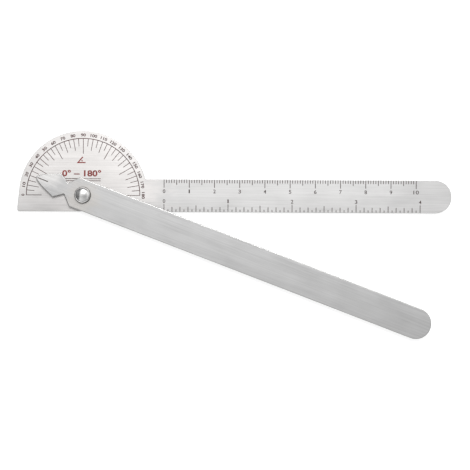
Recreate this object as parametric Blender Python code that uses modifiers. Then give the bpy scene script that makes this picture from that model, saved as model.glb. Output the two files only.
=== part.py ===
"""Pocket protractor: a dial plate with a graduated arm, and a plain arm riveted to swing over it.

Frame: the origin is on the pivot axis, in the plane of the plate's back, which is the face that the
protractor lies on. +X runs along the graduated arm, +Y points at the dial's 90 degree mark and +Z
comes up out of the dial. Lengths are in metres and angles in degrees.
"""

import math

import bmesh
import bpy
from mathutils import Matrix, Vector

MM = 0.001

# Sheet and overall sizes.
SHEET_THICKNESS = 1.2 * MM
EDGE_BREAK = 0.15 * MM
REST_ANGLE = 20.8  # between the two arms as the protractor lies at rest

# Dial plate: a head that is a little more than a half disc, and the arm that leaves it.
HEAD_RADIUS = 25.4 * MM
HEAD_FLARE = 6.0  # how far the straight left side leans outwards
HEAD_CORNER_RADIUS = 0.8 * MM
PLATE_ARM_REACH = 146.1 * MM
PLATE_ARM_WIDTH = 12.9 * MM
NECK_FILLET = 1.0 * MM

# Moving arm. Its pointer looks the other way, over the dial.
MOVING_ARM_REACH = 147.4 * MM
MOVING_ARM_WIDTH = 12.25 * MM
POINTER_APEX = 20.38 * MM  # where the two flanks would meet if the tip were sharp
POINTER_TIP_RADIUS = 0.9 * MM
FLANK_BEND = (16.85 * MM, 2.45 * MM)
FLANK_BEND_RADIUS = 15.0 * MM
BARB = (10.9 * MM, 4.95 * MM)
BARB_RADIUS = 0.5 * MM
NOTCH = (7.1 * MM, 2.25 * MM)
NOTCH_RADIUS = 0.35 * MM
SHOULDER = 3.5 * MM
SHOULDER_RADIUS = 0.6 * MM

# Pivot: one rivet through both sheets, peened flush with the plate's back.
SHANK_RADIUS = 1.6 * MM
RUNNING_GAP = 0.05 * MM  # round the shank
STACK_GAP = 0.03 * MM  # between pieces that lie on each other
TAIL_RADIUS = 2.35 * MM
DOME_RADIUS = 3.18 * MM
DOME_HEIGHT = 2.1 * MM
DOME_LAND = 0.2 * MM  # the short upright wall under the dome
WASHER_RADIUS = 4.0 * MM
WASHER_THICKNESS = 0.3 * MM
SPRING_RADIUS = 3.0 * MM
SPRING_BORE = 1.75 * MM
SPRING_THICKNESS = 0.2 * MM
SPRING_WAVE = 0.1 * MM  # how far each crest stands off the middle plane
SPRING_CRESTS = 3

# How finely round shapes are divided.
WIDE_ARC_STEP = 3.0
SMALL_ARC_STEP = 9.0
PIVOT_STEPS = 48
DOME_RINGS = 8
CUT_MARGIN = 0.5 * MM

# Heights of the stack, from the back upwards.
WASHER_BOTTOM = SHEET_THICKNESS + STACK_GAP
MOVING_ARM_BOTTOM = WASHER_BOTTOM + WASHER_THICKNESS + STACK_GAP
SPRING_BOTTOM = MOVING_ARM_BOTTOM + SHEET_THICKNESS + STACK_GAP
DOME_BOTTOM = SPRING_BOTTOM + 2 * SPRING_WAVE + SPRING_THICKNESS + STACK_GAP

# Base colour and roughness of each steel.
STEELS = {
    "plate_steel": ((0.66, 0.65, 0.64), 0.34),
    "arm_steel": ((0.58, 0.575, 0.57), 0.36),
    "rivet_steel": ((0.70, 0.69, 0.68), 0.16),
    "washer_steel": ((0.52, 0.51, 0.50), 0.42),
    "spring_steel": ((0.45, 0.44, 0.43), 0.30),
}


def clear_scene():
    """Removes whatever the open file holds."""
    for thing in list(bpy.data.objects):
        bpy.data.objects.remove(thing, do_unlink=True)


def add_collection(name):
    """Makes a collection in the scene."""
    group = bpy.data.collections.new(name)
    bpy.context.scene.collection.children.link(group)
    return group


def make_steel(name):
    """A bare metal with the named entry's colour and roughness."""
    colour, roughness = STEELS[name]
    material = bpy.data.materials.new(name)
    material.use_nodes = True
    shader = material.node_tree.nodes["Principled BSDF"]
    shader.inputs["Base Color"].default_value = (*colour, 1.0)
    shader.inputs["Roughness"].default_value = roughness
    shader.inputs["Metallic"].default_value = 1.0
    return material


def arc(centre, radius, start, end, step):
    """Points round a circle from one angle to another, both ends included."""
    count = max(2, math.ceil(abs(end - start) / step))
    angles = [math.radians(start + (end - start) * i / count) for i in range(count + 1)]
    return [Vector(centre) + radius * Vector((math.cos(a), math.sin(a))) for a in angles]


def rounded(corners):
    """The closed outline through the corners (x, y, radius), each one rounded to its radius."""
    points = []
    for i, (x, y, radius) in enumerate(corners):
        corner = Vector((x, y))
        back = (Vector(corners[i - 1][:2]) - corner).normalized()
        ahead = (Vector(corners[(i + 1) % len(corners)][:2]) - corner).normalized()
        half = back.angle(ahead) / 2
        centre = corner + (back + ahead).normalized() * radius / math.sin(half)
        first = corner + back * radius / math.tan(half) - centre
        start = math.degrees(math.atan2(first.y, first.x))
        turn = math.copysign(180 - math.degrees(2 * half), ahead.cross(back))
        points += arc(centre, radius, start, start + turn, SMALL_ARC_STEP)
    return points


def plate_outline():
    """The dial plate's edge, anticlockwise from its bottom left corner."""
    half = PLATE_ARM_WIDTH / 2
    flare = math.radians(HEAD_FLARE)
    side_start = Vector((-math.cos(flare), math.sin(flare))) * HEAD_RADIUS
    corner_y = HEAD_CORNER_RADIUS - half
    side_x = side_start.x - (side_start.y - corner_y) * math.tan(flare)
    corner = (side_x + HEAD_CORNER_RADIUS / math.cos(flare), corner_y)
    neck_y = half + NECK_FILLET
    neck_reach = HEAD_RADIUS + NECK_FILLET
    neck = (math.sqrt(neck_reach**2 - neck_y**2), neck_y)
    neck_angle = math.degrees(math.atan2(neck[1], neck[0]))
    points = arc(corner, HEAD_CORNER_RADIUS, 180 - HEAD_FLARE, 270, SMALL_ARC_STEP)
    points += arc((PLATE_ARM_REACH - half, 0), half, -90, 90, SMALL_ARC_STEP)
    points += arc(neck, NECK_FILLET, 270, 180 + neck_angle, SMALL_ARC_STEP)
    points += arc((0, 0), HEAD_RADIUS, neck_angle, 180 - HEAD_FLARE, WIDE_ARC_STEP)[1:]
    return points


def moving_arm_outline():
    """The moving arm's edge along +X, with its pointer along -X."""
    half = MOVING_ARM_WIDTH / 2
    upper = [
        (-SHOULDER, half, SHOULDER_RADIUS),
        (-NOTCH[0], NOTCH[1], NOTCH_RADIUS),
        (-BARB[0], BARB[1], BARB_RADIUS),
        (-FLANK_BEND[0], FLANK_BEND[1], FLANK_BEND_RADIUS),
    ]
    lower = [(x, -y, radius) for x, y, radius in reversed(upper)]
    pointer = upper + [(-POINTER_APEX, 0.0, POINTER_TIP_RADIUS)] + lower
    end = MOVING_ARM_REACH
    return rounded(pointer + [(end, -half, half), (end, half, half)])


def weld_and_flatten(mesh):
    """Joins a filled curve's loose caps to its walls, and makes each cap one face."""
    work = bmesh.new()
    work.from_mesh(mesh)
    bmesh.ops.remove_doubles(work, verts=work.verts, dist=0.001 * MM)
    bmesh.ops.dissolve_limit(
        work, angle_limit=math.radians(0.1), verts=work.verts, edges=work.edges
    )
    bmesh.ops.recalc_face_normals(work, faces=work.faces)
    work.to_mesh(mesh)
    work.free()


def stamp(name, outline, placement, steel, group):
    """A piece of sheet cut to an outline, its back at the placement's origin."""
    curve = bpy.data.curves.new(name + "_outline", "CURVE")
    curve.dimensions = "2D"
    curve.fill_mode = "BOTH"
    curve.extrude = SHEET_THICKNESS / 2
    spline = curve.splines.new("POLY")
    spline.points.add(len(outline) - 1)
    for point, (x, y) in zip(spline.points, outline):
        point.co = (x, y, 0.0, 1.0)
    spline.use_cyclic_u = True
    drawn = bpy.data.objects.new(name + "_outline", curve)
    drawn.matrix_world = placement @ Matrix.Translation((0, 0, SHEET_THICKNESS / 2))
    group.objects.link(drawn)
    bpy.context.view_layer.update()
    evaluated = drawn.evaluated_get(bpy.context.evaluated_depsgraph_get())
    sheet = bpy.data.objects.new(name, bpy.data.meshes.new_from_object(evaluated))
    sheet.matrix_world = drawn.matrix_world
    group.objects.link(sheet)
    bpy.data.objects.remove(drawn, do_unlink=True)
    weld_and_flatten(sheet.data)
    sheet.data.materials.clear()
    sheet.data.materials.append(steel)
    edge = sheet.modifiers.new("edge_break", "BEVEL")
    edge.width = EDGE_BREAK
    edge.segments = 1
    edge.limit_method = "ANGLE"
    edge.angle_limit = math.radians(40)
    return sheet


def turned(name, profile, steel, group, closed=False):
    """A shape turned about Z, from a profile (radius, height) that runs down its outer side."""
    mesh = bpy.data.meshes.new(name)
    edges = [(i, i + 1) for i in range(len(profile) - 1)]
    if closed:
        edges.append((len(profile) - 1, 0))
    mesh.from_pydata([(radius, 0.0, height) for radius, height in profile], edges, [])
    piece = bpy.data.objects.new(name, mesh)
    group.objects.link(piece)
    turning = piece.modifiers.new("turning", "SCREW")
    turning.axis = "Z"
    turning.steps = PIVOT_STEPS
    turning.render_steps = PIVOT_STEPS
    turning.use_merge_vertices = True
    turning.merge_threshold = 0.001 * MM
    turning.use_smooth_shade = False
    if steel is not None:
        mesh.materials.append(steel)
    return piece


def ring_profile(bore, radius, bottom, thickness):
    """A flat ring's section, down its outer side and back up its bore."""
    top = bottom + thickness
    return [(radius, top), (radius, bottom), (bore, bottom), (bore, top)]


def cut(piece, cutter):
    """Takes the cutter's shape out of the piece."""
    cutter.hide_render = True
    cutter.display_type = "WIRE"
    hole = piece.modifiers.new("hole", "BOOLEAN")
    hole.operation = "DIFFERENCE"
    hole.solver = "EXACT"
    hole.object = cutter


def make_plate(group, cutters):
    """Dial head and graduated arm in one sheet, with a hole countersunk from the back."""
    steel = make_steel("plate_steel")
    plate = stamp("protractor_plate", plate_outline(), Matrix(), steel, group)
    bore = SHANK_RADIUS + RUNNING_GAP
    mouth = TAIL_RADIUS + RUNNING_GAP
    profile = [
        (0.0, SHEET_THICKNESS + CUT_MARGIN),
        (bore, SHEET_THICKNESS + CUT_MARGIN),
        (bore, mouth - bore),
        (mouth + CUT_MARGIN, -CUT_MARGIN),
        (0.0, -CUT_MARGIN),
    ]
    cut(plate, turned("countersunk_hole", profile, None, cutters))


def make_moving_arm(group, cutters):
    """The plain arm, with its origin on the pivot axis, turned to its rest angle."""
    placement = Matrix.Translation((0, 0, MOVING_ARM_BOTTOM)) @ Matrix.Rotation(
        math.radians(-REST_ANGLE), 4, "Z"
    )
    arm = stamp("moving_arm", moving_arm_outline(), placement, make_steel("arm_steel"), group)
    bpy.ops.mesh.primitive_cylinder_add(
        vertices=PIVOT_STEPS,
        radius=SHANK_RADIUS + RUNNING_GAP,
        depth=SHEET_THICKNESS + 2 * CUT_MARGIN,
        location=(0, 0, MOVING_ARM_BOTTOM + SHEET_THICKNESS / 2),
    )
    cutter = bpy.context.object
    cutter.name = "pivot_hole"
    for home in list(cutter.users_collection):
        home.objects.unlink(cutter)
    cutters.objects.link(cutter)
    cut(arm, cutter)


def make_rivet(group):
    """Domed head, plain shank, and a tail peened into the plate's countersink."""
    cap_height = DOME_HEIGHT - DOME_LAND
    sphere = (DOME_RADIUS**2 + cap_height**2) / (2 * cap_height)
    middle = DOME_BOTTOM + DOME_HEIGHT - sphere
    rim = math.degrees(math.asin((sphere - cap_height) / sphere))
    dome = arc((0, middle), sphere, 90, rim, (90 - rim) / DOME_RINGS)
    profile = [(0.0, dome[0].y)] + [tuple(point) for point in dome[1:]]
    profile += [
        (DOME_RADIUS, DOME_BOTTOM),
        (SHANK_RADIUS, DOME_BOTTOM),
        (SHANK_RADIUS, TAIL_RADIUS - SHANK_RADIUS),
        (TAIL_RADIUS, 0.0),
        (0.0, 0.0),
    ]
    rivet = turned("pivot_rivet", profile, make_steel("rivet_steel"), group)
    rivet.modifiers["turning"].use_smooth_shade = True


def make_washer(group):
    """The flat washer that keeps the moving arm off the dial's markings."""
    bore = SHANK_RADIUS + RUNNING_GAP
    profile = ring_profile(bore, WASHER_RADIUS, WASHER_BOTTOM, WASHER_THICKNESS)
    turned("spacer_washer", profile, make_steel("washer_steel"), group, closed=True)


def make_wave_washer(group):
    """The spring under the rivet's head: a thin ring whose height waves as it goes round."""
    profile = ring_profile(
        SPRING_BORE, SPRING_RADIUS, SPRING_BOTTOM + SPRING_WAVE, SPRING_THICKNESS
    )
    flat = turned("flat_spring", profile, make_steel("spring_steel"), group, closed=True)
    bpy.context.view_layer.update()
    evaluated = flat.evaluated_get(bpy.context.evaluated_depsgraph_get())
    mesh = bpy.data.meshes.new_from_object(evaluated)
    for vertex in mesh.vertices:
        turn = math.atan2(vertex.co.y, vertex.co.x)
        vertex.co.z += SPRING_WAVE * math.cos(SPRING_CRESTS * turn)
    group.objects.link(bpy.data.objects.new("wave_washer", mesh))
    bpy.data.objects.remove(flat, do_unlink=True)


def main():
    """Builds the protractor."""
    clear_scene()
    group = add_collection("pocket_protractor")
    cutters = add_collection("cutters")
    make_plate(group, cutters)
    make_moving_arm(group, cutters)
    make_washer(group)
    make_wave_washer(group)
    make_rivet(group)
    bpy.context.view_layer.update()


main()
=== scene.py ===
"""Looks of the pocket protractor: brushed sheet, inked scales and a polished rivet.

Everything is in the frame's metres. The dial plate's arm runs along +X with the pivot at the origin,
and the moving arm lies across it, turned clockwise by its rest angle.
"""

import math

import bmesh
import bpy
from mathutils import Matrix, Vector


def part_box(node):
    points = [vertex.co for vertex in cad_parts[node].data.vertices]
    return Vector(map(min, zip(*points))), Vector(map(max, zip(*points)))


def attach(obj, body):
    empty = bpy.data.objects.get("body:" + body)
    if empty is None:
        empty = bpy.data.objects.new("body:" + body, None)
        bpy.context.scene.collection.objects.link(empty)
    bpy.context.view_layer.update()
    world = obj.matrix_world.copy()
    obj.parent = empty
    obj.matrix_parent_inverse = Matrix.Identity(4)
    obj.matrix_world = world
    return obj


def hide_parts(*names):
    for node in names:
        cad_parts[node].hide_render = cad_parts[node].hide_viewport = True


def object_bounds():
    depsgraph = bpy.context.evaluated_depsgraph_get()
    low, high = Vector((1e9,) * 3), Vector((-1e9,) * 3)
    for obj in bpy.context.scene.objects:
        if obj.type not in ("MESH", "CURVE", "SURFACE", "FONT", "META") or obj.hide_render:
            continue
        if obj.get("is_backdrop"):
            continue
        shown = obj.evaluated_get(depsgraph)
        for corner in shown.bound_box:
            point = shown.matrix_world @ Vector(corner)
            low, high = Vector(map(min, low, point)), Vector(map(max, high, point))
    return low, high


MM = 0.001

# Outline details that the frame's boxes don't give.
HEAD_FLARE = 6.0  # degrees
HEAD_CORNER_RADIUS = 0.8 * MM
NECK_FILLET = 1.0 * MM
POINTER_APEX = 20.38 * MM
POINTER_TIP_RADIUS = 0.9 * MM
FLANK_BEND = (16.85 * MM, 2.45 * MM)
FLANK_BEND_RADIUS = 15.0 * MM
BARB = (10.9 * MM, 4.95 * MM)
BARB_RADIUS = 0.5 * MM
NOTCH = (7.1 * MM, 2.25 * MM)
NOTCH_RADIUS = 0.35 * MM
SHOULDER = 3.5 * MM
SHOULDER_RADIUS = 0.6 * MM
PLATE_EDGE_ROUND = 0.10 * MM
ARM_EDGE_ROUND = 0.27 * MM
BOX_CLEARANCE = 0.01 * MM  # keeps the finer curves inside the frame's box

# How finely shapes are built. Angles are in degrees.
EDGE_SEGMENTS = 4
ARC_STEP = 1.5
FILLET_STEP = 6.0
FINE_ARC_RADIUS = 2.45 * MM  # a rounded corner wider than this takes the finer step
WELD_DISTANCE = 0.0005 * MM
FLAT_ANGLE = 0.1
BEVELLED_ANGLE = 40
BLADE_SHARP_ANGLE = 50
RIVET_SHARP_ANGLE = 35
WASHER_SHARP_ANGLE = 30
FACE_NORMAL_Z = 0.9  # a blade's flat faces point up or down by at least this
FACE_SLOT, EDGE_SLOT, WALL_SLOT = range(3)
TEXT_RESOLUTION = 4

# Pivot.
SHANK_RADIUS = 1.6 * MM
SHANK_GAP = 0.05 * MM
TAIL_RADIUS = 2.35 * MM
TAIL_BEVEL = (1.5, 0.5)  # across and up, as shares of the rivet's lip
SPRING_BORE = 1.75 * MM
SPRING_CRESTS = 3
SPRING_WAVE = 0.25  # share of the spring's height that it waves each way
SPRING_CHAMFER = 0.02 * MM
WASHER_CHAMFER = 0.04 * MM
DOME_HEIGHT = 2.1 * MM
DOME_LAND = 0.2 * MM
DOME_RINGS = 24
RIVET_LIP = 0.06 * MM
LIP_MIDDLE = 0.3  # where the lip's middle lies, as a share of it
TURNED_STEPS = 128
CUT_MARGIN = 0.5 * MM

# Steels: colour and roughness.
PLATE_FACE = ((0.530, 0.5265, 0.524), 0.44)
# The plate's rounded edge is painted darker than its face: painted shade that dims the highlight on
# it.
PLATE_EDGE = ((0.33, 0.326, 0.322), 0.32)
PLATE_WALL = ((0.33, 0.322, 0.315), 0.42)
ARM_FACE = ((0.474, 0.473, 0.473), 0.44)
ARM_EDGE = ((0.47, 0.466, 0.462), 0.34)
# The arm's cut wall is painted much darker than the plate's: painted shade that deepens the dark
# line along the arm's lower edges.
ARM_WALL = ((0.16, 0.157, 0.154), 0.42)
RIVET_POLISHED = ((0.80, 0.795, 0.79), 0.16)
WASHER_DULL = ((0.62, 0.61, 0.60), 0.40)
SPRING_DULL = ((0.50, 0.49, 0.48), 0.32)

# Inks: their darkest and lightest colours.
DIAL_INK = ((0.030, 0.012, 0.011), (0.090, 0.028, 0.026))
SCALE_INK = ((0.020, 0.014, 0.013), (0.075, 0.045, 0.042))
RANGE_INK = ((0.11, 0.012, 0.010), (0.30, 0.045, 0.038))

# How a surface's features change it: shades multiply its colour, and rougher adds to its
# roughness, each from the features' low places to their high ones. Relief is how high they stand.
NOISE_SPAN = (0.3, 0.7)  # what most noise stays within
BRUSHED_SPAN = (0.38, 0.62)
BRUSHED_SHADES = (0.90, 1.07)
BRUSHED_ROUGHER = (-0.05, 0.05)
BRUSHED_RELIEF = 0.004 * MM
STREAK_SHARE = 0.6  # of the brushed lines, the rest being grain
LINE_SHARE = 0.7  # of the brushed tone, the rest being soft bands
SMUDGE_SHADES = (0.965, 1.03)
SMUDGE_ROUGHER = (-0.03, 0.04)
SCRATCH_ANGLES = (24, -37)  # degrees
SCRATCH_ROUGHER = -0.08
SCRATCH_DEPTH = 0.5
TUMBLED_SHADES = (0.92, 1.04)
TUMBLED_ROUGHER = (-0.06, 0.08)
TUMBLED_RELIEF = 0.006 * MM
SHEARED_SHADES = (0.82, 1.12)
SHEARED_ROUGHER = (-0.06, 0.10)
SHEARED_RELIEF = 0.008 * MM
TURNED_SHADES = (0.94, 1.04)
SCUFF_ROUGHER = (-0.03, 0.05)
SCUFF_ANGLE = 30  # degrees
HAZE_ROUGHER = (-0.01, 0.03)
TURNED_RELIEF = 0.0015 * MM
RING_SHARE = 0.7  # of the turned relief, the rest being scuffs
RING_PITCH = 0.09 * MM
WASHER_RING_PITCH = 0.15 * MM
INK_SPAN = (0.35, 0.65)
INK_ROUGHNESS = (0.5, 0.72)
INK_RELIEF = 0.002 * MM
INK_COVER_SHARE = 0.5  # of the ink's tone, the rest being wider patches
SEED_SHIFT = (1.0, 0.37, 0.71)  # how far one unit of seed moves the noise along each axis

# Soft patches on the steel, painted light and shade (the pivot's also a warm rub tint): place, where
# the patch is full, where it has faded, and its tint.
DIAL_GLEAM = ((1.0 * MM, 11.0 * MM), 19.0 * MM, 42.0 * MM, (1.185, 1.16, 1.147))
DIAL_MIDDLE_SHADE = ((1.0 * MM, 9.0 * MM), 5.0 * MM, 16.0 * MM, (0.95, 0.95, 0.948))
DIAL_LOWER_LEFT_SHADE = ((-13.0 * MM, -8.0 * MM), 4.0 * MM, 17.0 * MM, (0.81, 0.813, 0.818))
SCALE_TIP_SHADE = ((146.0 * MM, 0.0), 14.0 * MM, 44.0 * MM, (0.94, 0.94, 0.942))
# The pointer's gleam is a painted highlight. The pivot's patch is a warm rub tint with a little
# painted sheen.
POINTER_GLEAM = ((-16.5 * MM, 4.0 * MM), 3.0 * MM, 9.5 * MM, (1.33, 1.315, 1.30))
PIVOT_RUB_AND_SHEEN = ((0.0, -1.5 * MM), 3.5 * MM, 10.0 * MM, (1.05, 1.02, 0.985))

# Painted shade: dark colour painted in the corner between the rivet's head and the arm, where shade
# falls.
CREVICE_SHADE_COLOUR = (0.05, 0.046, 0.042)
CREVICE_SHADE_RADIUS = 3.27 * MM
CREVICE_SHADE_FADE = 0.12 * MM
CREVICE_SHADE_HEIGHT = 0.6 * MM
CREVICE_SHADE_BORDER = (0.7 * MM, 0.7 * MM, 0.7 * MM)  # size of the unevenness in its border
PATCH_BORDER = (6 * MM, 2.5 * MM, 2.5 * MM)  # the same in a soft patch's border

# Ink stands this far out of the sheet and reaches this far into it.
INK_HEIGHT = 0.012 * MM
INK_DEPTH = 0.01 * MM
DIAL_TEXT_WEIGHT = 0.03  # how much bolder than the font, in its own units
SCALE_TEXT_WEIGHT = 0.012

# Dial markings.
DIAL_END = 180
DIAL_RADIUS = 22.5 * MM
DIAL_LINE = 0.3 * MM
DIAL_TICK_WIDTH = 0.23 * MM
DIAL_STEP = 5
DIAL_TICK_LENGTHS = ((30, 6.05 * MM), (10, 4.6 * MM), (5, 3.1 * MM))
DIAL_NUMERAL_STEP = 10
DIAL_NUMERAL_RADIUS = 23.85 * MM
DIAL_NUMERAL_HEIGHT = 1.22 * MM
DIAL_NUMERAL_WIDTHS = {1: 0.80 * MM, 2: 1.95 * MM, 3: 2.65 * MM}  # by how many digits

# The range that the dial reads, an angle sign above it and two rules below it.
RANGE_TEXT = "0\u00b0 \u2013 180\u00b0"
RANGE_PLACE = (-0.6 * MM, 8.7 * MM)
RANGE_HEIGHT = 2.6 * MM
RANGE_WIDTH = 15.5 * MM
ANGLE_SIGN_CORNER = (-2.1 * MM, 12.9 * MM)
ANGLE_SIGN_REACH = 3.0 * MM
ANGLE_SIGN_OPENING = 50.0  # degrees
ANGLE_SIGN_STROKE = 0.46 * MM
ANGLE_SIGN_ARC = 1.8 * MM
ANGLE_SIGN_GAP = 2.2  # from a leg's middle to the arc's end, in half strokes
RULE_SPAN = (-8.2 * MM, 7.0 * MM)
RULE_HEIGHTS = (6.5 * MM, 5.7 * MM)
RULE_WIDTH = 0.26 * MM

# Straight scales. Both start at the same place along the arm.
SCALE_START = 32.1 * MM
SCALE_TICK_WIDTH = 0.28 * MM
CM = 10 * MM
CM_COUNT = 10
CM_PARTS = 10
CM_TICK_LENGTHS = ((10, 3.3 * MM), (5, 2.2 * MM), (1, 1.45 * MM))
CM_NUMERAL_DROP = 4.72 * MM
INCH = 25.4 * MM
INCH_COUNT = 4
INCH_PARTS = 16
INCH_TICK_LENGTHS = ((16, 3.1 * MM), (8, 2.6 * MM), (2, 2.0 * MM), (1, 1.0 * MM))
INCH_NUMERAL_RISE = 4.28 * MM
SCALE_NUMERAL_HEIGHT = 1.5 * MM
SCALE_DIGIT_WIDTH = 1.0 * MM
SCALE_ODD_WIDTHS = {"1": 0.5, "10": 2.2}  # numerals that aren't one digit wide, in digits

# The line on the pointer, along the moving arm's own X.
INDEX_LINE_HALF = 0.17 * MM
INDEX_LINE_SPAN = (-19.1 * MM, -14.7 * MM)

# The sky's light is the product of these rows. Each row is an axis, where the change starts and
# ends along it, and the level before and after.
SKY = (
    ((0.0, 0.0, 1.0), (0.06, 0.36), (0.08, 1.0)),  # dark at the horizon
    ((0.0, 1.0, 0.0), (-0.4, 0.4), (0.66, 1.34)),  # brighter towards +Y
    ((0.0, 1.0, 0.0), (0.55, 0.9), (1.0, 0.45)),  # dimmer low down at +Y
    ((0.0, -1.0, 0.0), (0.2, 0.55), (1.0, 1.35)),  # brighter towards -Y
    ((-1.0, 0.0, 0.0), (-0.4, 0.45), (0.78, 1.26)),  # brighter towards -X
    ((1.0, 0.0, 0.0), (0.5, 0.9), (1.0, 1.6)),  # brighter low down at +X
    ((-0.985, 0.17, 0.0), (0.34, 0.54), (1.0, 0.24)),  # a dark wall at -X
)
SKY_LEVEL = 0.74

# Softboxes: name, azimuth and elevation in degrees, distance and size in metres, and radiance.
SOFTBOXES = (
    ("key", 5.0, 60.0, 1.0, (0.38, 0.36), 13.0),
    ("back", 18.0, 40.0, 1.0, (0.8, 0.36), 2.0),
)

# Table. It glows so that the shadows on it stay pale.
TABLE_HALF = 2.0
TABLE_DROP = 0.1 * MM
TABLE_WHITE = ((0.42, 0.42, 0.42), 0.8)
TABLE_GLOW = 0.75

# Camera. The lens and the sensor are in millimetres, as the camera takes them.
LENS = 100
SENSOR = 36
FIELD = 1.0824  # width of the view, in widths of the object
CAMERA_SHIFT = (0.35 * MM, -0.05 * MM)
CAMERA_TURN = 0.31  # degrees
CLIP = (0.01, 20.0)

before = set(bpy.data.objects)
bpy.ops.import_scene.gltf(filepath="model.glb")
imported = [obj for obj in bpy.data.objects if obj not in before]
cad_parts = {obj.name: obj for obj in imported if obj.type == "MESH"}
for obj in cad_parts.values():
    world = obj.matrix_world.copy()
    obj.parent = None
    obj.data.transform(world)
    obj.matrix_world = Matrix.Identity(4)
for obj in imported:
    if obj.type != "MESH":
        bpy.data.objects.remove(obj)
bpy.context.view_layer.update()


# ---------------------------------------------------------------- outlines


def arc(centre, radius, start, end, step):
    """Points round a circle from one angle to another, in degrees, both ends included."""
    count = max(2, math.ceil(abs(end - start) / step))
    angles = [math.radians(start + (end - start) * i / count) for i in range(count + 1)]
    return [Vector(centre) + radius * Vector((math.cos(a), math.sin(a))) for a in angles]


def rounded(corners):
    """The closed outline through the corners (x, y, radius), each one rounded to its radius."""
    points = []
    for i, (x, y, radius) in enumerate(corners):
        corner = Vector((x, y))
        back = (Vector(corners[i - 1][:2]) - corner).normalized()
        ahead = (Vector(corners[(i + 1) % len(corners)][:2]) - corner).normalized()
        half = back.angle(ahead) / 2
        centre = corner + (back + ahead).normalized() * radius / math.sin(half)
        first = corner + back * radius / math.tan(half) - centre
        start = math.degrees(math.atan2(first.y, first.x))
        turn = math.copysign(180 - math.degrees(2 * half), ahead.cross(back))
        step = ARC_STEP if radius > FINE_ARC_RADIUS else FILLET_STEP
        points += arc(centre, radius, start, start + turn, step)
    return points


def plate_outline(head_radius, half, reach):
    """The dial plate's edge, anticlockwise from its bottom left corner."""
    flare = math.radians(HEAD_FLARE)
    side_start = Vector((-math.cos(flare), math.sin(flare))) * head_radius
    corner_y = HEAD_CORNER_RADIUS - half
    side_x = side_start.x - (side_start.y - corner_y) * math.tan(flare)
    corner = (side_x + HEAD_CORNER_RADIUS / math.cos(flare), corner_y)
    neck_y = half + NECK_FILLET
    neck_reach = head_radius + NECK_FILLET
    neck = (math.sqrt(neck_reach**2 - neck_y**2), neck_y)
    neck_angle = math.degrees(math.atan2(neck[1], neck[0]))
    points = arc(corner, HEAD_CORNER_RADIUS, 180 - HEAD_FLARE, 270, FILLET_STEP)
    points += arc((reach - half, 0), half, -90, 90, ARC_STEP)
    points += arc(neck, NECK_FILLET, 270, 180 + neck_angle, FILLET_STEP)
    points += arc((0, 0), head_radius, neck_angle, 180 - HEAD_FLARE, ARC_STEP)[1:]
    return points


def moving_arm_outline(half, reach):
    """The moving arm's edge along +X, with its pointer along -X."""
    upper = [
        (-SHOULDER, half, SHOULDER_RADIUS),
        (-NOTCH[0], NOTCH[1], NOTCH_RADIUS),
        (-BARB[0], BARB[1], BARB_RADIUS),
        (-FLANK_BEND[0], FLANK_BEND[1], FLANK_BEND_RADIUS),
    ]
    lower = [(x, -y, radius) for x, y, radius in reversed(upper)]
    pointer = upper + [(-POINTER_APEX, 0.0, POINTER_TIP_RADIUS)] + lower
    return rounded(pointer + [(reach, -half, half), (reach, half, half)])


# ---------------------------------------------------------------- mesh building


def filled(name, outlines, height, material):
    """Closed outlines filled and given a height, as one mesh object that starts at z = 0."""
    curve = bpy.data.curves.new(name + "_outline", "CURVE")
    curve.dimensions = "2D"
    curve.fill_mode = "BOTH"
    curve.extrude = height / 2
    for outline in outlines:
        spline = curve.splines.new("POLY")
        spline.points.add(len(outline) - 1)
        for point, (x, y) in zip(spline.points, outline):
            point.co = (x, y, 0.0, 1.0)
        spline.use_cyclic_u = True
    mesh = solid_mesh(curve)
    mesh.transform(Matrix.Translation((0, 0, height / 2)))
    return placed(name, mesh, material)


def solid_mesh(curve):
    """A filled curve's or text's mesh, with its caps welded to its walls."""
    drawn = bpy.data.objects.new(curve.name, curve)
    bpy.context.scene.collection.objects.link(drawn)
    bpy.context.view_layer.update()
    evaluated = drawn.evaluated_get(bpy.context.evaluated_depsgraph_get())
    mesh = bpy.data.meshes.new_from_object(evaluated)
    bpy.data.objects.remove(drawn, do_unlink=True)
    work = bmesh.new()
    work.from_mesh(mesh)
    bmesh.ops.remove_doubles(work, verts=work.verts, dist=WELD_DISTANCE)
    bmesh.ops.dissolve_limit(
        work, angle_limit=math.radians(FLAT_ANGLE), verts=work.verts, edges=work.edges
    )
    bmesh.ops.recalc_face_normals(work, faces=work.faces)
    work.to_mesh(mesh)
    work.free()
    mesh.materials.clear()
    return mesh


def placed(name, mesh, material):
    """A new object that shows the mesh in the material."""
    piece = bpy.data.objects.new(name, mesh)
    mesh.name = name
    if material is not None:
        mesh.materials.append(material)
    bpy.context.scene.collection.objects.link(piece)
    return piece


def turned(name, profile, material, closed=False):
    """A shape turned about Z, from a profile (radius, height) that runs down its outer side."""
    mesh = bpy.data.meshes.new(name)
    edges = [(i, i + 1) for i in range(len(profile) - 1)]
    if closed:
        edges.append((len(profile) - 1, 0))
    mesh.from_pydata([(radius, 0.0, height) for radius, height in profile], edges, [])
    piece = placed(name, mesh, material)
    turning = piece.modifiers.new("turning", "SCREW")
    turning.axis = "Z"
    turning.steps = TURNED_STEPS
    turning.render_steps = TURNED_STEPS
    turning.use_merge_vertices = True
    turning.merge_threshold = WELD_DISTANCE
    turning.use_smooth_shade = True
    return piece


def settle(piece, sharp_angle=None):
    """Applies the piece's modifiers, and shades it smooth up to the sharp angle."""
    bpy.context.view_layer.update()
    evaluated = piece.evaluated_get(bpy.context.evaluated_depsgraph_get())
    mesh = bpy.data.meshes.new_from_object(evaluated)
    piece.modifiers.clear()
    piece.data = mesh
    if sharp_angle is not None:
        mesh.shade_smooth()
        mesh.set_sharp_from_angle(angle=math.radians(sharp_angle))


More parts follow.
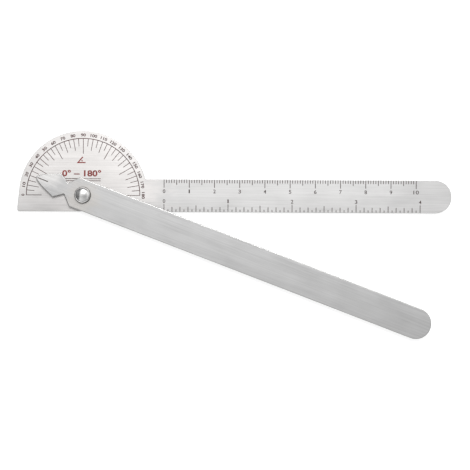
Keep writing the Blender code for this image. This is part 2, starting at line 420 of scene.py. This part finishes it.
def blade(name, outline, thickness, edge_round, cutter, face, edge, wall):
    """A sheet with rounded edges and cut walls in their own materials, and the pivot hole."""
    sheet = filled(name, [outline], thickness, face)
    sheet.data.materials.append(edge)
    sheet.data.materials.append(wall)
    rounding = sheet.modifiers.new("rounding", "BEVEL")
    rounding.width = edge_round
    rounding.segments = EDGE_SEGMENTS
    rounding.limit_method = "ANGLE"
    rounding.angle_limit = math.radians(BEVELLED_ANGLE)
    rounding.material = EDGE_SLOT
    hole = sheet.modifiers.new("hole", "BOOLEAN")
    hole.operation = "DIFFERENCE"
    hole.solver = "EXACT"
    hole.object = cutter
    settle(sheet)
    bpy.data.objects.remove(cutter, do_unlink=True)
    for polygon in sheet.data.polygons:
        if polygon.material_index == FACE_SLOT and abs(polygon.normal.z) < FACE_NORMAL_Z:
            polygon.material_index = WALL_SLOT
    sheet.data.shade_smooth()
    flat = sheet.modifiers.new("flat_faces", "WEIGHTED_NORMAL")
    flat.mode = "FACE_AREA"
    flat.weight = 100
    flat.keep_sharp = True
    sheet.data.set_sharp_from_angle(angle=math.radians(BLADE_SHARP_ANGLE))
    return sheet


def text_solid(body, weight, width, height, thickness, place):
    """A numeral's solid, scaled to its width and height and set in place."""
    curve = bpy.data.curves.new("numeral", "FONT")
    curve.body = body
    curve.extrude = 0.5
    curve.resolution_u = TEXT_RESOLUTION
    curve.offset = weight
    mesh = solid_mesh(curve)
    low = [min(v.co[i] for v in mesh.vertices) for i in range(3)]
    high = [max(v.co[i] for v in mesh.vertices) for i in range(3)]
    size = [b - a for a, b in zip(low, high)]
    middle = Vector([(a + b) / 2 for a, b in zip(low, high)])
    scale = Matrix.Diagonal((width / size[0], height / size[1], thickness / size[2], 1.0))
    mesh.transform(place @ scale @ Matrix.Translation(-middle))
    return mesh


def joined(name, meshes, material):
    """Several solids as one object."""
    work = bmesh.new()
    for mesh in meshes:
        work.from_mesh(mesh)
        bpy.data.meshes.remove(mesh)
    whole = bpy.data.meshes.new(name)
    work.to_mesh(whole)
    work.free()
    return placed(name, whole, material)


# ---------------------------------------------------------------- materials


class Graph:
    """A material's node tree, with short ways to add to it."""

    def __init__(self, name, colour, roughness, metallic, turn=0.0):
        self.material = bpy.data.materials.new(name)
        self.material.use_nodes = True
        self.tree = self.material.node_tree
        self.shader = self.tree.nodes["Principled BSDF"]
        self.shader.inputs["Base Color"].default_value = (*colour, 1.0)
        self.shader.inputs["Roughness"].default_value = roughness
        self.shader.inputs["Metallic"].default_value = metallic
        self.place = self.add("ShaderNodeTexCoord").outputs["Object"]
        if turn:
            turned_back = self.add(
                "ShaderNodeVectorRotate",
                {"Vector": self.place, "Angle": -turn},
                rotation_type="Z_AXIS",
            )
            self.place = turned_back.outputs[0]

    def add(self, kind, inputs=None, **settings):
        """A node with its settings, and its inputs set or linked."""
        node = self.tree.nodes.new(kind)
        for key, value in settings.items():
            setattr(node, key, value)
        for key, value in (inputs or {}).items():
            if isinstance(value, bpy.types.NodeSocket):
                self.tree.links.new(value, node.inputs[key])
            else:
                node.inputs[key].default_value = value
        return node

    def noise(self, sizes, seed, detail=2.0, turn=0.0):
        """Noise whose features have the given size along each axis, turned about Z."""
        mapped = self.add(
            "ShaderNodeMapping",
            {
                "Vector": self.place,
                "Rotation": (0.0, 0.0, math.radians(turn)),
                "Location": tuple(seed * shift for shift in SEED_SHIFT),
            },
        )
        scaled = self.add(
            "ShaderNodeVectorMath",
            {0: mapped.outputs[0], 1: tuple(1 / size for size in sizes)},
            operation="MULTIPLY",
        )
        made = self.add(
            "ShaderNodeTexNoise",
            {"Vector": scaled.outputs[0], "Scale": 1.0, "Detail": detail, "Roughness": 0.55},
        )
        return made.outputs["Fac"]

    def spread(self, value, low, high, start=NOISE_SPAN[0], end=NOISE_SPAN[1]):
        """The value's range from start to end, mapped to low to high."""
        node = self.add(
            "ShaderNodeMapRange",
            {"Value": value, "From Min": start, "From Max": end, "To Min": low, "To Max": high},
        )
        return node.outputs["Result"]

    def maths(self, operation, first, second):
        """One step of arithmetic."""
        return self.add("ShaderNodeMath", {0: first, 1: second}, operation=operation).outputs[0]

    def blend(self, first, second, share):
        """The two values mixed, with this share of the first."""
        return self.maths(
            "ADD",
            self.maths("MULTIPLY", first, share),
            self.maths("MULTIPLY", second, 1 - share),
        )

    def rougher(self, value, roughness, change):
        """The roughness, changed by the value's low and high places."""
        return self.spread(value, roughness + change[0], roughness + change[1])

    def shaded(self, value, colour, shades, span=NOISE_SPAN):
        """The colour in its first shade where the value is low, and in its second where high."""
        low, high = (shade(colour, factor) for factor in shades)
        return self.tint(self.spread(value, 0.0, 1.0, *span), low, high)

    def tint(self, factor, low, high):
        """A colour between low and high."""
        node = self.add(
            "ShaderNodeMix",
            {"Factor": factor, "A": (*low, 1.0), "B": (*high, 1.0)},
            data_type="RGBA",
        )
        return node.outputs["Result"]

    def axis_distance(self):
        """How far a point is from the pivot axis."""
        parts = self.add("ShaderNodeSeparateXYZ", {0: self.place})
        flat = self.add("ShaderNodeCombineXYZ", {0: parts.outputs[0], 1: parts.outputs[1]})
        return self.add(
            "ShaderNodeVectorMath", {0: flat.outputs[0]}, operation="LENGTH"
        ).outputs["Value"]

    def darkened(self, colour, measure, limit, fade):
        """The colour, painted dark as shade where the measure is below the limit, with an uneven
        border.
        """
        uneven = self.noise(CREVICE_SHADE_BORDER, 31.0, detail=3.0)
        border = self.maths("ADD", measure, self.spread(uneven, -fade / 2, fade / 2))
        clean = self.spread(border, 0.0, 1.0, limit - fade / 2, limit + fade / 2)
        node = self.add(
            "ShaderNodeMix",
            {"Factor": clean, "A": (*CREVICE_SHADE_COLOUR, 1.0), "B": colour},
            data_type="RGBA",
        )
        return node.outputs["Result"]

    def clouded(self, colour, cloud, low, high):
        """The colour made darker and lighter by a cloudy value."""
        factor = self.spread(cloud, low, high)
        tint = self.add("ShaderNodeCombineXYZ", {0: factor, 1: factor, 2: factor})
        node = self.add(
            "ShaderNodeMix",
            {"Factor": 1.0, "A": colour, "B": tint.outputs[0]},
            data_type="RGBA",
            blend_type="MULTIPLY",
        )
        return node.outputs["Result"]

    def patched(self, colour, place, full, faded, tint):
        """The colour, tinted in a soft-edged patch with an uneven border."""
        from_place = self.add(
            "ShaderNodeVectorMath", {0: self.place, 1: (*place, 0.0)}, operation="DISTANCE"
        )
        uneven = self.noise(PATCH_BORDER, 37.0, detail=3.0)
        width = faded - full
        measure = self.maths(
            "ADD", from_place.outputs["Value"], self.spread(uneven, -width / 3, width / 3)
        )
        amount = self.add(
            "ShaderNodeMapRange",
            {"Value": measure, "From Min": full, "From Max": faded, "To Min": 1.0, "To Max": 0.0},
            interpolation_type="SMOOTHSTEP",
        )
        node = self.add(
            "ShaderNodeMix",
            {"Factor": amount.outputs[0], "A": colour, "B": (*tint, 1.0)},
            data_type="RGBA",
            blend_type="MULTIPLY",
        )
        return node.outputs["Result"]

    def finish(self, colour, roughness, height, relief):
        """Links the colour, the roughness and the relief, and returns the material."""
        self.tree.links.new(colour, self.shader.inputs["Base Color"])
        self.tree.links.new(roughness, self.shader.inputs["Roughness"])
        bump = self.add(
            "ShaderNodeBump", {"Height": height, "Strength": 1.0, "Distance": relief}
        )
        self.tree.links.new(bump.outputs[0], self.shader.inputs["Normal"])
        return self.material


def shade(colour, factor):
    """A colour made lighter or darker."""
    return tuple(min(1.0, channel * factor) for channel in colour)


def brushed_steel(name, colour, roughness, seed, patches, turn=0.0, crevice_shade_radius=None):
    """Sheet brushed lengthwise: fine grain, longer streaks, soft bands and a few scratches.

    The patches paint soft light and shade and a warm rub tint on it, and within the crevice shade
    radius, round the pivot, it is painted dark as shade.
    """
    graph = Graph(name, colour, roughness, 1.0, turn)
    grain = graph.noise((9 * MM, 0.11 * MM, 0.11 * MM), seed, detail=3.0)
    streak = graph.noise((26 * MM, 0.40 * MM, 0.40 * MM), seed + 3, detail=3.0)
    band = graph.noise((110 * MM, 3.2 * MM, 3.2 * MM), seed + 5)
    smudge = graph.noise((14 * MM, 9 * MM, 9 * MM), seed + 9, detail=3.0)
    long_scratch = graph.noise(
        (16 * MM, 0.12 * MM, 0.12 * MM), seed + 13, detail=1.0, turn=SCRATCH_ANGLES[0]
    )
    short_scratch = graph.noise(
        (11 * MM, 0.10 * MM, 0.10 * MM), seed + 17, detail=1.0, turn=SCRATCH_ANGLES[1]
    )
    scratches = graph.maths(
        "MAXIMUM",
        graph.spread(long_scratch, 0.0, 1.0, 0.76, 0.80),
        graph.spread(short_scratch, 0.0, 1.0, 0.77, 0.81),
    )
    lines = graph.blend(streak, grain, STREAK_SHARE)
    tone = graph.blend(lines, band, LINE_SHARE)
    rough = graph.maths(
        "ADD",
        graph.rougher(lines, roughness, BRUSHED_ROUGHER),
        graph.spread(smudge, *SMUDGE_ROUGHER),
    )
    rough = graph.maths("ADD", rough, graph.maths("MULTIPLY", scratches, SCRATCH_ROUGHER))
    height = graph.maths("SUBTRACT", lines, graph.maths("MULTIPLY", scratches, SCRATCH_DEPTH))
    shown = graph.shaded(tone, colour, BRUSHED_SHADES, BRUSHED_SPAN)
    shown = graph.clouded(shown, smudge, *SMUDGE_SHADES)
    for patch in patches:
        shown = graph.patched(shown, *patch)
    # Painted shade: a dark ring on the arm round the rivet's head.
    if crevice_shade_radius is not None:
        shown = graph.darkened(shown, graph.axis_distance(), crevice_shade_radius, CREVICE_SHADE_FADE)
    return graph.finish(shown, rough, height, BRUSHED_RELIEF)


def tumbled_steel(name, colour, roughness, seed):
    """Rounded edges, rubbed smooth with small nicks."""
    graph = Graph(name, colour, roughness, 1.0)
    nick = graph.noise((1.3 * MM, 0.4 * MM, 0.4 * MM), seed, detail=3.0)
    wear = graph.noise((12 * MM, 6 * MM, 6 * MM), seed + 4)
    return graph.finish(
        colour=graph.shaded(wear, colour, TUMBLED_SHADES),
        roughness=graph.rougher(nick, roughness, TUMBLED_ROUGHER),
        height=nick,
        relief=TUMBLED_RELIEF,
    )


def sheared_steel(name, colour, roughness, seed, turn=0.0):
    """The cut side of a sheet: upright drag lines from the blanking tool, and dull patches."""
    graph = Graph(name, colour, roughness, 1.0, turn)
    drag = graph.noise((0.10 * MM, 0.10 * MM, 1.6 * MM), seed, detail=3.0)
    dull = graph.noise((5 * MM, 5 * MM, 0.5 * MM), seed + 4)
    return graph.finish(
        colour=graph.shaded(dull, colour, SHEARED_SHADES),
        roughness=graph.rougher(drag, roughness, SHEARED_ROUGHER),
        height=drag,
        relief=SHEARED_RELIEF,
    )


def turned_steel(name, colour, roughness, seed, ring=RING_PITCH, crevice_shade_foot=None):
    """Steel with faint rings round the axis and light scuffs, painted dark as shade close to the
    crevice shade's foot.
    """
    graph = Graph(name, colour, roughness, 1.0)
    height = graph.add("ShaderNodeSeparateXYZ", {0: graph.place}).outputs[2]
    across = graph.add("ShaderNodeCombineXYZ", {0: graph.axis_distance(), 1: height})
    rings = graph.add(
        "ShaderNodeTexNoise",
        {"Vector": across.outputs[0], "Scale": 1 / ring, "Detail": 2.0, "Roughness": 0.5},
    )
    scuff = graph.noise((0.9 * MM, 0.25 * MM, 0.9 * MM), seed, detail=3.0, turn=SCUFF_ANGLE)
    haze = graph.noise((2.2 * MM, 1.6 * MM, 1.6 * MM), seed + 6, detail=2.0)
    lines = graph.blend(rings.outputs["Fac"], scuff, RING_SHARE)
    shown = graph.shaded(haze, colour, TURNED_SHADES)
    # Painted shade: a dark band on the rivet where its head meets the arm.
    if crevice_shade_foot is not None:
        from_foot = graph.maths("ABSOLUTE", graph.maths("SUBTRACT", height, crevice_shade_foot), 0.0)
        shown = graph.darkened(shown, from_foot, CREVICE_SHADE_HEIGHT, CREVICE_SHADE_FADE)
    return graph.finish(
        colour=shown,
        roughness=graph.maths(
            "ADD",
            graph.rougher(scuff, roughness, SCUFF_ROUGHER),
            graph.spread(haze, *HAZE_ROUGHER),
        ),
        height=lines,
        relief=TURNED_RELIEF,
    )


def ink(name, dark, light, seed):
    """Dry ink with uneven cover."""
    graph = Graph(name, dark, 0.6, 0.0)
    cover = graph.noise((0.5 * MM, 0.5 * MM, 0.5 * MM), seed, detail=3.0)
    patch = graph.noise((7 * MM, 7 * MM, 7 * MM), seed + 2)
    mixed = graph.blend(cover, patch, INK_COVER_SHARE)
    return graph.finish(
        colour=graph.tint(graph.spread(mixed, 0.0, 1.0, *INK_SPAN), dark, light),
        roughness=graph.spread(cover, *INK_ROUGHNESS),
        height=cover,
        relief=INK_RELIEF,
    )


# ---------------------------------------------------------------- what the frame gives


def far_point(node):
    """The place on a CAD node that is furthest from the pivot axis."""
    spots = [v.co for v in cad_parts[node].data.vertices]
    return max(spots, key=lambda spot: spot.xy.length)


def turned_box(node, angle):
    """A CAD node's lowest and highest corners in a frame turned about Z."""
    back = Matrix.Rotation(-angle, 4, "Z")
    spots = [back @ v.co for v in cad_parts[node].data.vertices]
    low = Vector([min(s[i] for s in spots) for i in range(3)])
    high = Vector([max(s[i] for s in spots) for i in range(3)])
    return low, high


PLATE_LOW, PLATE_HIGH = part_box("protractor_plate")
ARM_TIP = far_point("moving_arm")
ARM_ANGLE = math.atan2(ARM_TIP.y, ARM_TIP.x)
ARM_LOW, ARM_HIGH = turned_box("moving_arm", ARM_ANGLE)
RIVET_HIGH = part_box("pivot_rivet")[1]
WASHER_LOW, WASHER_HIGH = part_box("spacer_washer")
SPRING_LOW, SPRING_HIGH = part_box("wave_washer")
HALF_ARM = -PLATE_LOW.y
ARM_TURN = Matrix.Rotation(ARM_ANGLE, 4, "Z")


# ---------------------------------------------------------------- pieces


def make_plate():
    """Dial and graduated arm, countersunk from the back."""
    bore = SHANK_RADIUS + SHANK_GAP
    mouth = TAIL_RADIUS + SHANK_GAP
    top = PLATE_HIGH.z
    profile = [
        (0.0, top + CUT_MARGIN),
        (bore, top + CUT_MARGIN),
        (bore, mouth - bore),
        (mouth + CUT_MARGIN, -CUT_MARGIN),
        (0.0, -CUT_MARGIN),
    ]
    cutter = turned("countersunk_hole", profile, None)
    plate = blade(
        "dial_plate",
        plate_outline(PLATE_HIGH.y, HALF_ARM, PLATE_HIGH.x),
        top,
        PLATE_EDGE_ROUND,
        cutter,
        brushed_steel(
            "plate_brushed",
            *PLATE_FACE,
            seed=1.0,
            patches=(DIAL_GLEAM, DIAL_MIDDLE_SHADE, DIAL_LOWER_LEFT_SHADE, SCALE_TIP_SHADE),
        ),
        tumbled_steel("plate_edge", *PLATE_EDGE, seed=2.0),
        sheared_steel("plate_wall", *PLATE_WALL, seed=3.0),
    )
    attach(plate, "root")
    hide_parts("protractor_plate")


def make_moving_arm():
    """The plain arm, built along X and turned to its rest angle."""
    bore = SHANK_RADIUS + SHANK_GAP
    thickness = ARM_HIGH.z - ARM_LOW.z
    profile = [
        (0.0, thickness + CUT_MARGIN),
        (bore, thickness + CUT_MARGIN),
        (bore, -CUT_MARGIN),
        (0.0, -CUT_MARGIN),
    ]
    cutter = turned("pivot_hole", profile, None)
    arm = blade(
        "swing_arm",
        moving_arm_outline(ARM_HIGH.y - BOX_CLEARANCE, ARM_HIGH.x - BOX_CLEARANCE),
        thickness,
        ARM_EDGE_ROUND,
        cutter,
        brushed_steel(
            "arm_brushed",
            *ARM_FACE,
            seed=21.0,
            patches=(PIVOT_RUB_AND_SHEEN, POINTER_GLEAM),
            turn=ARM_ANGLE,
            crevice_shade_radius=CREVICE_SHADE_RADIUS,
        ),
        tumbled_steel("arm_edge", *ARM_EDGE, seed=22.0),
        sheared_steel("arm_wall", *ARM_WALL, seed=23.0, turn=ARM_ANGLE),
    )
    arm.data.transform(Matrix.Translation((0, 0, ARM_LOW.z)) @ ARM_TURN)
    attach(arm, "arm")
    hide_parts("moving_arm")


def make_rivet():
    """Domed head, shank, and the flush tail in the plate's countersink."""
    radius = RIVET_HIGH.x
    bottom = RIVET_HIGH.z - DOME_HEIGHT
    crown = DOME_HEIGHT - DOME_LAND
    dome = [
        Vector((radius * math.sin(a), bottom + DOME_LAND + crown * math.cos(a)))
        for a in (math.pi / 2 * i / DOME_RINGS for i in range(DOME_RINGS + 1))
    ]
    lip = RIVET_LIP
    profile = [(0.0, dome[0].y)] + [tuple(point) for point in dome[1:]]
    profile += [
        (radius, bottom + lip),
        (radius - lip * LIP_MIDDLE, bottom + lip * LIP_MIDDLE),
        (radius - lip, bottom),
        (SHANK_RADIUS, bottom),
        (SHANK_RADIUS, TAIL_RADIUS - SHANK_RADIUS),
        (TAIL_RADIUS - lip * TAIL_BEVEL[1], lip * TAIL_BEVEL[1]),
        (TAIL_RADIUS - lip * TAIL_BEVEL[0], 0.0),
        (0.0, 0.0),
    ]
    steel = turned_steel("rivet_polished", *RIVET_POLISHED, seed=41.0, crevice_shade_foot=bottom)
    rivet = turned("domed_rivet", profile, steel)
    settle(rivet, sharp_angle=RIVET_SHARP_ANGLE)
    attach(rivet, "root")
    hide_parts("pivot_rivet")


def ring_profile(bore, radius, bottom, thickness, chamfer):
    """A ring's section with broken edges, down its outer side and back up its bore."""
    top = bottom + thickness
    return [
        (radius - chamfer, top),
        (radius, top - chamfer),
        (radius, bottom + chamfer),
        (radius - chamfer, bottom),
        (bore + chamfer, bottom),
        (bore, bottom + chamfer),
        (bore, top - chamfer),
        (bore + chamfer, top),
    ]


def make_washers():
    """The flat washer between the sheets, and the wavy spring under the rivet's head."""
    thickness = WASHER_HIGH.z - WASHER_LOW.z
    profile = ring_profile(
        SHANK_RADIUS + SHANK_GAP, WASHER_HIGH.x, WASHER_LOW.z, thickness, WASHER_CHAMFER
    )
    steel = turned_steel("washer_dull", *WASHER_DULL, seed=51.0, ring=WASHER_RING_PITCH)
    flat = turned("flat_washer", profile, steel, closed=True)
    settle(flat, sharp_angle=WASHER_SHARP_ANGLE)
    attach(flat, "root")
    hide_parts("spacer_washer")

    spring_steel = turned_steel("spring_dull", *SPRING_DULL, seed=61.0)
    height = SPRING_HIGH.z - SPRING_LOW.z
    wave = height * SPRING_WAVE
    profile = ring_profile(
        SPRING_BORE, SPRING_HIGH.x, SPRING_LOW.z + wave, height - 2 * wave, SPRING_CHAMFER
    )
    spring = turned("spring_washer", profile, spring_steel, closed=True)
    settle(spring, sharp_angle=WASHER_SHARP_ANGLE)
    for vertex in spring.data.vertices:
        turn = math.atan2(vertex.co.y, vertex.co.x)
        vertex.co.z += wave * math.cos(SPRING_CRESTS * turn)
    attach(spring, "root")
    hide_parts("wave_washer")


def print_on(piece, surface, body):
    """Lays an inked piece on the face at this height, and lets it ride with the body."""
    piece.data.transform(Matrix.Translation((0, 0, surface - INK_DEPTH)))
    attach(piece, body)


def tick_length(place, lengths):
    """The length of the mark at this place: the first entry whose step divides it."""
    return next(length for step, length in lengths if place % step == 0)


def dial_comb():
    """The dial's arc and all its ticks as one outline."""
    half = DIAL_TICK_WIDTH / 2
    outer = DIAL_RADIUS + DIAL_LINE / 2
    inner = DIAL_RADIUS - DIAL_LINE / 2
    over = math.degrees(half / outer)
    points = arc((0, 0), outer, 180 + over, -over, ARC_STEP)
    for reading in range(DIAL_END, -DIAL_STEP, -DIAL_STEP):
        angle = math.radians(DIAL_END - reading)
        out = Vector((math.cos(angle), math.sin(angle)))
        side = Vector((-out.y, out.x)) * half
        foot = out * (DIAL_RADIUS - tick_length(reading, DIAL_TICK_LENGTHS))
        points += [out * inner - side, foot - side, foot + side, out * inner + side]
        if reading > 0:
            gap = math.degrees(half / inner)
            start = DIAL_END - reading + gap
            points += arc((0, 0), inner, start, start + DIAL_STEP - 2 * gap, ARC_STEP)[1:-1]
    return points


def make_dial(dial_ink):
    """The dial's lines and its numerals."""
    thickness = INK_HEIGHT + INK_DEPTH
    print_on(filled("dial_lines", [dial_comb()], thickness, dial_ink), PLATE_HIGH.z, "root")
    numerals = []
    for reading in range(0, DIAL_END + 1, DIAL_NUMERAL_STEP):
        body = str(reading)
        place = (
            Matrix.Rotation(math.radians(90 - reading), 4, "Z")
            @ Matrix.Translation((0, DIAL_NUMERAL_RADIUS, thickness / 2))
        )
        width = DIAL_NUMERAL_WIDTHS[len(body)]
        numerals.append(
            text_solid(body, DIAL_TEXT_WEIGHT, width, DIAL_NUMERAL_HEIGHT, thickness, place)
        )
    print_on(joined("dial_numerals", numerals, dial_ink), PLATE_HIGH.z, "root")


def stroke(start, end, width):
    """A straight stroke's outline between two points."""
    start, end = Vector(start), Vector(end)
    along = (end - start).normalized()
    side = Vector((-along.y, along.x)) * width / 2
    return [start - side, end - side, end + side, start + side]


def angle_sign():
    """Two legs that meet at a point, and the arc between them, as outlines that don't cross."""
    corner = Vector(ANGLE_SIGN_CORNER)
    half = ANGLE_SIGN_STROKE / 2
    opening = math.radians(ANGLE_SIGN_OPENING)
    leg = Vector((math.cos(opening), math.sin(opening)))
    across = Vector((-leg.y, leg.x))
    inner = half / math.tan(opening / 2)
    outer = ANGLE_SIGN_REACH
    legs = [
        corner + Vector((outer, -half)),
        corner + Vector((outer, half)),
        corner + Vector((inner, half)),
        corner + leg * outer - across * half,
        corner + leg * outer + across * half,
        corner - Vector((inner, half)),
    ]
    gap = math.degrees(ANGLE_SIGN_GAP * half / ANGLE_SIGN_ARC)
    sweep = (gap, ANGLE_SIGN_OPENING - gap)
    bow = arc(corner, ANGLE_SIGN_ARC + half, *sweep, FILLET_STEP)
    bow += arc(corner, ANGLE_SIGN_ARC - half, sweep[1], sweep[0], FILLET_STEP)
    return [legs, bow]


def make_dial_marks(range_ink, dial_ink):
    """What is printed inside the dial: its range, two rules and an angle sign."""
    thickness = INK_HEIGHT + INK_DEPTH
    place = Matrix.Translation((*RANGE_PLACE, thickness / 2))
    text = text_solid(
        RANGE_TEXT, DIAL_TEXT_WEIGHT, RANGE_WIDTH, RANGE_HEIGHT, thickness, place
    )
    print_on(joined("dial_range", [text], range_ink), PLATE_HIGH.z, "root")
    left, right = RULE_SPAN
    rules = [stroke((left, y), (right, y), RULE_WIDTH) for y in RULE_HEIGHTS]
    print_on(filled("dial_rule", rules, thickness, dial_ink), PLATE_HIGH.z, "root")
    print_on(filled("angle_sign", angle_sign(), thickness, range_ink), PLATE_HIGH.z, "root")


def scale_ticks(count, pitch, lengths, edge, inward):
    """Outlines of a straight scale's ticks, which start where the edge's rounding ends."""
    outlines = []
    start_y = edge + inward * PLATE_EDGE_ROUND
    half = SCALE_TICK_WIDTH / 2
    for i in range(count + 1):
        x = SCALE_START + i * pitch
        left, right = x - half, x + half
        end_y = edge + inward * tick_length(i, lengths)
        outlines.append([(left, start_y), (right, start_y), (right, end_y), (left, end_y)])
    return outlines


def scale_numerals(count, pitch, height_y, thickness):
    """The numerals of a straight scale."""
    solids = []
    for i in range(count + 1):
        body = str(i)
        width = SCALE_DIGIT_WIDTH * SCALE_ODD_WIDTHS.get(body, 1.0)
        place = Matrix.Translation((SCALE_START + i * pitch, height_y, thickness / 2))
        solids.append(
            text_solid(body, SCALE_TEXT_WEIGHT, width, SCALE_NUMERAL_HEIGHT, thickness, place)
        )
    return solids


def make_scales(scale_ink):
    """Centimetres along the upper edge and inches along the lower one."""
    thickness = INK_HEIGHT + INK_DEPTH
    millimetres = scale_ticks(CM_COUNT * CM_PARTS, CM / CM_PARTS, CM_TICK_LENGTHS, HALF_ARM, -1)
    sixteenths = scale_ticks(
        INCH_COUNT * INCH_PARTS, INCH / INCH_PARTS, INCH_TICK_LENGTHS, -HALF_ARM, 1
    )
    cm_numerals = scale_numerals(CM_COUNT, CM, HALF_ARM - CM_NUMERAL_DROP, thickness)
    inch_numerals = scale_numerals(INCH_COUNT, INCH, INCH_NUMERAL_RISE - HALF_ARM, thickness)
    pieces = [
        filled("centimetre_ticks", millimetres, thickness, scale_ink),
        filled("inch_ticks", sixteenths, thickness, scale_ink),
        joined("centimetre_numerals", cm_numerals, scale_ink),
        joined("inch_numerals", inch_numerals, scale_ink),
    ]
    for piece in pieces:
        print_on(piece, PLATE_HIGH.z, "root")


def make_index_line(scale_ink):
    """The line on the pointer that the dial is read against."""
    half = INDEX_LINE_HALF
    far, near = INDEX_LINE_SPAN
    outline = [(far, -half), (near, -half), (near, half), (far, half)]
    line = filled("index_line", [outline], INK_HEIGHT + INK_DEPTH, scale_ink)
    line.data.transform(ARM_TURN)
    print_on(line, ARM_HIGH.z, "arm")


# ---------------------------------------------------------------- studio


def make_floor():
    """A wide pale table top."""
    half = TABLE_HALF
    mesh = bpy.data.meshes.new("table_top")
    mesh.from_pydata(
        [(-half, -half, 0), (half, -half, 0), (half, half, 0), (-half, half, 0)],
        [],
        [(0, 1, 2, 3)],
    )
    graph = Graph("table_white", *TABLE_WHITE, metallic=0.0)
    graph.shader.inputs["Emission Color"].default_value = (1.0, 1.0, 1.0, 1.0)
    graph.shader.inputs["Emission Strength"].default_value = TABLE_GLOW
    floor = placed("table_top", mesh, graph.material)
    floor.location.z = -TABLE_DROP
    floor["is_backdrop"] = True


def make_sky():
    """Soft light from all round, shaped by the sky's rows."""
    world = bpy.data.worlds.new("studio")
    bpy.context.scene.world = world
    world.use_nodes = True
    tree = world.node_tree
    where = tree.nodes.new("ShaderNodeTexCoord").outputs["Generated"]

    level = None
    for axis, (start, end), (before, after) in SKY:
        dot = tree.nodes.new("ShaderNodeVectorMath")
        dot.operation = "DOT_PRODUCT"
        dot.inputs[1].default_value = axis
        tree.links.new(where, dot.inputs[0])
        ramp = tree.nodes.new("ShaderNodeMapRange")
        ramp.interpolation_type = "SMOOTHSTEP"
        for key, value in enumerate((start, end, before, after), 1):
            ramp.inputs[key].default_value = value
        tree.links.new(dot.outputs["Value"], ramp.inputs[0])
        if level is None:
            level = ramp.outputs[0]
        else:
            product = tree.nodes.new("ShaderNodeMath")
            product.operation = "MULTIPLY"
            tree.links.new(level, product.inputs[0])
            tree.links.new(ramp.outputs[0], product.inputs[1])
            level = product.outputs[0]
    background = tree.nodes["Background"]
    background.inputs["Strength"].default_value = SKY_LEVEL
    tree.links.new(level, background.inputs["Color"])


def add_softbox(name, centre, azimuth, elevation, distance, size, radiance):
    """A soft area light that looks at a point, placed by compass angle from +Y and by height."""
    light = bpy.data.lights.new(name, "AREA")
    light.shape = "RECTANGLE"
    light.size, light.size_y = size
    light.energy = radiance * math.pi * size[0] * size[1]
    lamp = bpy.data.objects.new(name, light)
    flat = math.cos(math.radians(elevation))
    away = Vector(
        (
            math.sin(math.radians(azimuth)) * flat,
            math.cos(math.radians(azimuth)) * flat,
            math.sin(math.radians(elevation)),
        )
    )
    lamp.location = centre + away * distance
    lamp.rotation_mode = "QUATERNION"
    lamp.rotation_quaternion = away.to_track_quat("Z", "Y")
    bpy.context.scene.collection.objects.link(lamp)


def make_studio():
    """Sky, softboxes and the table."""
    low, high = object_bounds()
    centre = (low + high) / 2
    make_floor()
    make_sky()
    for name, *setting in SOFTBOXES:
        add_softbox(name, centre, *setting)


def make_camera():
    """Straight above, with a long lens, turned a little off the graduated arm's line."""
    low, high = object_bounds()
    centre = (low + high) / 2
    data = bpy.data.cameras.new("above")
    data.lens = LENS
    data.sensor_width = SENSOR
    camera = bpy.data.objects.new("above", data)
    field = (high.x - low.x) * FIELD
    distance = field / 2 / math.tan(math.atan(data.sensor_width / 2 / data.lens))
    shift_x, shift_y = CAMERA_SHIFT
    camera.location = (centre.x + shift_x, centre.y + shift_y, PLATE_HIGH.z + distance)
    camera.rotation_euler = (0.0, 0.0, math.radians(CAMERA_TURN))
    data.clip_start, data.clip_end = CLIP
    bpy.context.scene.collection.objects.link(camera)
    bpy.context.scene.camera = camera


def main():
    """Builds the pieces and the studio."""
    make_plate()
    make_moving_arm()
    make_rivet()
    make_washers()
    dial_ink = ink("dial_ink", *DIAL_INK, seed=71.0)
    scale_ink = ink("scale_ink", *SCALE_INK, seed=81.0)
    make_dial(dial_ink)
    range_ink = ink("range_ink", *RANGE_INK, seed=91.0)
    make_dial_marks(range_ink, dial_ink)
    make_scales(scale_ink)
    make_index_line(scale_ink)
    make_studio()
    make_camera()
    bpy.context.scene.view_settings.view_transform = "Standard"


main()
